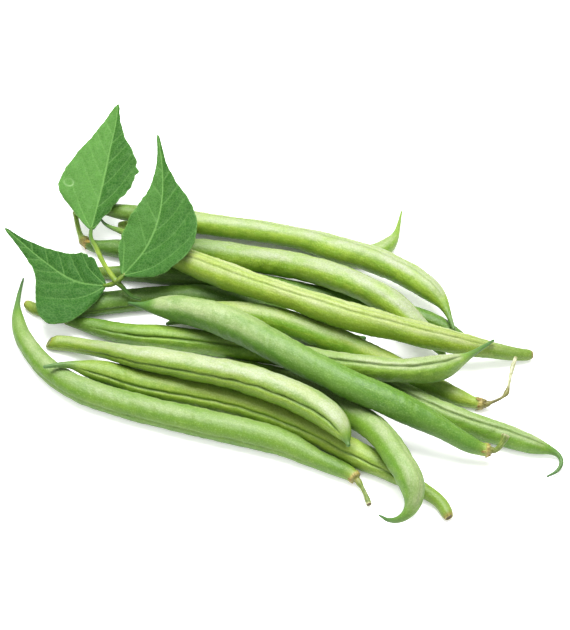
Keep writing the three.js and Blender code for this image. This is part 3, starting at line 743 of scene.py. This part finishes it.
# painted shade in a seam's groove
CREASE_SHADE_GREEN = (0.06, 0.13, 0.010)
BEAK_GREEN = (0.050, 0.140, 0.034)
PAPERY = ((0.28, 0.30, 0.12), (0.68, 0.68, 0.47))
TAN = ((0.30, 0.22, 0.06), (0.56, 0.44, 0.15))
DRIED = ((0.11, 0.058, 0.010), (0.38, 0.27, 0.07))
# painted shade in the hollow of an end face
HOLLOW_SHADE = (0.03, 0.018, 0.008)
LEAF_SPECK_TINT = (0.5, 0.62, 0.4)
# painted highlight of a water drop
DROP_GLINT_GREEN = (0.34, 0.50, 0.24)
STALK_GREENS = ((0.15, 0.26, 0.018), (0.27, 0.35, 0.035))
# darker green of the leaf's stalks, painted shade under the top pod's tip
STALK_SHADE_GREEN = (0.055, 0.14, 0.018)
LEAF_CELLS = 1.15                   # cells per mm of the net of small veins


class Shader:
    """A material of one Principled surface, and short ways to add the nodes that feed it.

    Its colour starts as the one given, and paint lays others over it.
    """

    def __init__(self, name, colour=None):
        self.material = bpy.data.materials.new(name)
        self.material.use_nodes = True
        self.nodes, self.links = self.material.node_tree.nodes, self.material.node_tree.links
        self.surface = self.nodes["Principled BSDF"].inputs
        self.grain = self.add("Attribute", output="Vector", attribute_name="grain")
        self.colour = colour

    def feed(self, socket, value):
        """Links another node's socket, or sets a number or colour."""
        if isinstance(value, bpy.types.NodeSocket):
            self.links.new(value, socket)
        else:
            socket.default_value = (*value, 1.0) if socket.type == "RGBA" and len(value) == 3 else value

    def add(self, kind, inputs=None, output=0, **settings):
        """Adds a node and gives the output socket of that name or number."""
        node = self.nodes.new("ShaderNode" + kind)
        for key, value in settings.items():
            setattr(node, key, value)
        for key, value in (inputs or {}).items():
            self.feed(node.inputs[key], value)
        return node.outputs[output]

    def set(self, **values):
        """Sets sockets of the surface by their names, with _ for a space."""
        for key, value in values.items():
            self.feed(self.surface[key.replace("_", " ")], value)

    def mask(self, name):
        """A mask of the mesh, or 0 where the mesh has none of that name."""
        return self.add("Attribute", output="Fac", attribute_name=name)

    def times(self, a, b):
        return self.add("Math", {0: a, 1: b}, operation="MULTIPLY", use_clamp=True)

    def plus(self, a, b):
        return self.add("Math", {0: a, 1: b}, operation="ADD", use_clamp=True)

    def noise(self, along, across, detail=2.0, roughness=0.5):
        """Noise in the piece's grain, from wave numbers per mm along it and across it."""
        place = self.add("VectorMath", {0: self.grain, 1: (along, across, across)}, operation="MULTIPLY")
        return self.add("TexNoise", {"Vector": place, "Scale": 1.0, "Detail": detail, "Roughness": roughness})

    def remap(self, value, low, high, to_low=0.0, to_high=1.0):
        """The value, turned so that low and high come out as to_low and to_high, and held between them."""
        return self.add("MapRange", {"Value": value, "From Min": low, "From Max": high,
                                     "To Min": to_low, "To Max": to_high})

    def mix(self, share, a, b, how="MIX"):
        """Colour a, turning to b as the share goes from 0 to 1. A Mix node's colour sockets go by number."""
        return self.add("Mix", {0: share, 6: a, 7: b}, output=2, data_type="RGBA", blend_type=how)

    def paint(self, colour, share, strength=None, how="MIX"):
        """Lays a colour over those that are there, as far as its share says, times its strength."""
        if strength is not None:
            share = self.times(share, strength)
        self.colour = self.mix(share, self.colour, colour, how)

    def bump(self, height, reach, normal=None):
        """Bump from a height of 0 to 1, whose reach is in mm."""
        inputs = {"Height": height, "Distance": reach * MM, "Strength": 1.0}
        if normal is not None:
            inputs["Normal"] = normal
        return self.add("Bump", inputs)


def pod_skin(name, look):
    """The skin of a fresh pod: satin, finely pitted, paler in long patches, browned where it has dried; with
    a painted sheen on its upper side, and painted shade underneath, in its seam and at ends that lie in
    shade.
    """
    m = Shader(name + "_skin", look["green"])
    patches = m.remap(m.noise(0.05, 0.16, detail=3.0), 0.38, 0.68)
    blots = m.remap(m.noise(0.30, 0.45, detail=3.0, roughness=0.6), 0.42, 0.66)
    streaks = m.remap(m.noise(0.06, 0.9, detail=3.0), 0.40, 0.70)
    sheen_patches = m.remap(m.noise(0.10, 0.30, detail=4.0, roughness=0.6), 0.34, 0.60, 0.38, 1.0)
    warm_patches = m.remap(m.noise(0.07, 0.35, detail=4.0, roughness=0.6), 0.46, 0.66, 0.0, look["warm"])
    specks = m.noise(2.1, 2.5, roughness=0.6)
    strands = m.remap(m.noise(0.5, 2.5), 0.35, 0.65)
    fibres = m.remap(m.noise(0.8, 3.0, detail=3.0), 0.38, 0.62)
    flecks = m.remap(m.noise(1.6, 3.0, detail=3.0), 0.35, 0.65)

    lighter = tuple(c * share for c, share in zip(look["green"], LIGHTER))
    m.paint(lighter, patches, strength=0.55)
    m.paint(lighter, blots, strength=0.58)
    m.paint(STREAK_GREEN, streaks, strength=0.22)
    # The painted sheen: a pale highlight on the upper side, in patches.
    m.paint(look["pale"], m.mask("painted_sheen"), strength=sheen_patches)
    m.paint(YELLOWED, warm_patches)
    m.paint(END_YELLOW, m.mask("pale"), strength=0.8)
    # Painted shade at ends that lie under a leaflet or another pod.
    m.paint(END_SHADE_GREEN, m.mask("end_shade"))
    # Painted shade on the underside, away from the key light.
    m.paint(UNDERSIDE_SHADE_TINT, m.mask("under"), strength=0.8, how="MULTIPLY")
    # Specks: painted shade in fine pits, and pale flecks that are partly the skin's own and partly painted
    # glints.
    m.paint(PIT_SHADE_TINT, m.remap(specks, 0.34, 0.62, 0.8, 0.0), how="MULTIPLY")
    m.paint(FLECK_AND_GLINT, m.remap(specks, 0.56, 0.72, 0.0, 0.22))
    # Painted shade in the seam's groove and the furrows.
    m.paint(CREASE_SHADE_GREEN, m.mask("crease"), strength=0.6)
    m.paint(BEAK_GREEN, m.mask("tip"))
    m.paint(m.mix(strands, *look["stalk"]), m.mask("stalk"))
    m.paint(m.mix(strands, *PAPERY), m.mask("papery"))
    m.paint(m.mix(fibres, *TAN), m.mask("tan"))
    m.paint(m.mix(flecks, *DRIED), m.mask("brown"))
    # Painted shade in the hollow of a cut or stalk end.
    m.paint(HOLLOW_SHADE, m.times(m.mask("crease"), m.mask("brown")), strength=0.9)

    fine = m.bump(m.noise(1.7, 1.9, roughness=0.6), 0.12)
    m.set(Base_Color=m.colour, Roughness=m.remap(specks, 0.3, 0.7, 0.46, 0.58), Specular_IOR_Level=0.55,
          Normal=m.bump(m.noise(0.35, 0.7), 0.16, fine),
          Subsurface_Weight=0.14, Subsurface_Radius=(0.8, 1.0, 0.25), Subsurface_Scale=0.0010)
    return m.material


def dried_calyx(name, light, dark):
    """The dull, finely fibred skin of the dried lobes."""
    m = Shader(name)
    share = m.remap(m.noise(0.6, 0.6, detail=3.0, roughness=0.6), 0.40, 0.60)
    m.set(Base_Color=m.mix(share, light, dark), Roughness=m.remap(share, 0.0, 1.0, 0.65, 0.8),
          Normal=m.bump(m.noise(2.0, 4.0), 0.08))
    return m.material


def leaf_face(name, bright, deep, vein):
    """A face of a leaflet: mottled green with paler veins and a net of small ones, and painted shade on one
    half.
    """
    m = Shader(name, bright)
    mottle = m.remap(m.noise(0.35, 0.35, detail=4.0, roughness=0.6), 0.35, 0.65)
    specks = m.remap(m.noise(2.0, 2.0, roughness=0.7), 0.35, 0.6, 0.24, 0.0)
    net = m.add("TexVoronoi", {"Vector": m.grain, "Scale": LEAF_CELLS, "Randomness": 1.0},
                feature="DISTANCE_TO_EDGE")

    # Painted shade: a leaflet's halves turn to the deep green as far as its shade mask says.
    m.paint(deep, m.plus(m.times(mottle, 0.16), m.times(m.mask("shade"), 0.80)))
    m.paint(vein, m.remap(net, 0.0, 0.12, 1.0, 0.0), strength=0.18)
    m.paint(LEAF_SPECK_TINT, specks, how="MULTIPLY")
    m.paint(vein, m.mask("vein"), strength=0.55)
    # A painted highlight standing for the glints of a water drop.
    m.paint(DROP_GLINT_GREEN, m.mask("drop_glint"), strength=0.6)

    cells = m.bump(m.remap(net, 0.0, 0.35), 0.10)
    m.set(Base_Color=m.colour, Roughness=m.remap(mottle, 0.0, 1.0, 0.55, 0.68), Specular_IOR_Level=0.15,
          Normal=m.bump(m.noise(1.6, 1.6), 0.06, cells),
          Subsurface_Weight=0.10, Subsurface_Radius=(0.5, 1.0, 0.2), Subsurface_Scale=0.0006)
    return m.material


def leaf_stalk():
    """The smooth skin of the leaf's stalks, darker along parts of them; where the main stalk runs under the
    top pod's tip, that is painted shade.
    """
    m = Shader("leaf_stalk")
    share = m.remap(m.noise(0.25, 1.6), 0.35, 0.65)
    m.set(Base_Color=m.mix(m.mask("shade"), m.mix(share, *STALK_GREENS), STALK_SHADE_GREEN),
          Roughness=m.remap(share, 0.0, 1.0, 0.4, 0.5), Normal=m.bump(m.noise(0.8, 3.0), 0.05),
          Subsurface_Weight=0.15, Subsurface_Radius=(0.8, 1.0, 0.25), Subsurface_Scale=0.0008)
    return m.material


# ---------------------------------------------------------------- the set

CAMERA_HEIGHT_ANGLE = 50.0      # how far above level the camera looks down from, in degrees
CAMERA_REACH = 0.650            # from the camera to the point it looks at, in m
LOOK_AT = np.array([0.0, 0.0, 10.0]) - PILE_MIDDLE      # that point, in mm
CAMERA_LENS = 116.06            # mm, on the usual 36 mm frame
FLOOR_HALF = 30.0               # half the side of the floor, in m, which fills low views too
FLOOR_WHITE = 0.78
FLOOR_GLOW = 0.62               # its own light where it lies open
SKY_REACH = 0.025               # how far around a point of the floor things crowd it, in m
CROWDED, OPEN = 0.07, 0.28      # the shares of open sky where the floor has none of its glow and all of it
WORLD_LIGHT = 0.30              # strength of the even white light from all sides


def camera():
    """The camera, in front of the pile and looking down at it."""
    data = bpy.data.cameras.new("camera")
    data.lens = CAMERA_LENS
    data.clip_start, data.clip_end = 0.01, 10.0
    piece = bpy.data.objects.new("camera", data)
    tilt = math.radians(CAMERA_HEIGHT_ANGLE)
    away = CAMERA_REACH * np.array([0.0, -math.cos(tilt), math.sin(tilt)])
    piece.location = LOOK_AT * MM + away
    piece.rotation_euler = (math.pi / 2 - tilt, 0.0, 0.0)
    bpy.context.scene.collection.objects.link(piece)
    bpy.context.scene.camera = piece


def area_light(name, place, size, radiance):
    """A white soft box in metres that faces the pile; its power follows from how bright its face is."""
    data = bpy.data.lights.new(name, "AREA")
    data.shape = "RECTANGLE"
    data.size, data.size_y = size
    data.energy = radiance * math.pi * size[0] * size[1]
    piece = bpy.data.objects.new(name, data)
    piece.location = place
    x, y, z = place
    piece.rotation_euler = (math.atan2(math.hypot(x, y), z), 0.0, math.atan2(x, -y))
    bpy.context.scene.collection.objects.link(piece)


def floor():
    """A white ground with a slight glow, which fades where pods crowd over it."""
    m = Shader("floor")
    open_sky = m.add("AmbientOcclusion", {"Distance": SKY_REACH}, output="AO", samples=8)
    m.set(Base_Color=(FLOOR_WHITE, FLOOR_WHITE, FLOOR_WHITE), Roughness=0.6, Emission_Color=(1.0, 1.0, 1.0),
          Emission_Strength=m.remap(open_sky, CROWDED, OPEN, 0.0, FLOOR_GLOW))
    mesh = bpy.data.meshes.new("floor")
    corners = [(FLOOR_HALF * x, FLOOR_HALF * y, 0) for x, y in ((-1, -1), (1, -1), (1, 1), (-1, 1))]
    mesh.from_pydata(corners, [], [(0, 1, 2, 3)])
    mesh.materials.append(m.material)
    piece = bpy.data.objects.new("floor", mesh)
    bpy.context.scene.collection.objects.link(piece)


def world():
    """White light from all sides."""
    sky = bpy.data.worlds.new("studio")
    sky.use_nodes = True
    back = sky.node_tree.nodes["Background"].inputs
    back["Color"].default_value = (1.0, 1.0, 1.0, 1.0)
    back["Strength"].default_value = WORLD_LIGHT
    bpy.context.scene.world = sky


# ---------------------------------------------------------------- putting it together

FLAP_SKINS = {"tan": dried_calyx("calyx_tan", (0.38, 0.34, 0.10), (0.22, 0.14, 0.030)),
              "brown": dried_calyx("calyx_brown", (0.60, 0.44, 0.095), (0.34, 0.18, 0.020))}
for node, look in PODS.items():
    pod(node, look, pod_skin(node, look), FLAP_SKINS[look["calyx"]])
leaf(leaf_face("leaf_upper", (0.090, 0.235, 0.044), (0.013, 0.080, 0.005), (0.19, 0.38, 0.10)),
     leaf_face("leaf_under", (0.13, 0.27, 0.08), (0.08, 0.20, 0.05), (0.24, 0.38, 0.15)), leaf_stalk())
floor()
world()
area_light("key", place=(0.0, 0.14, 0.62), size=(0.50, 0.42), radiance=12.8)
area_light("fill", place=(-0.35, -0.75, 0.45), size=(0.5, 0.4), radiance=1.6)
camera()
bpy.context.scene.view_settings.view_transform = "Standard"
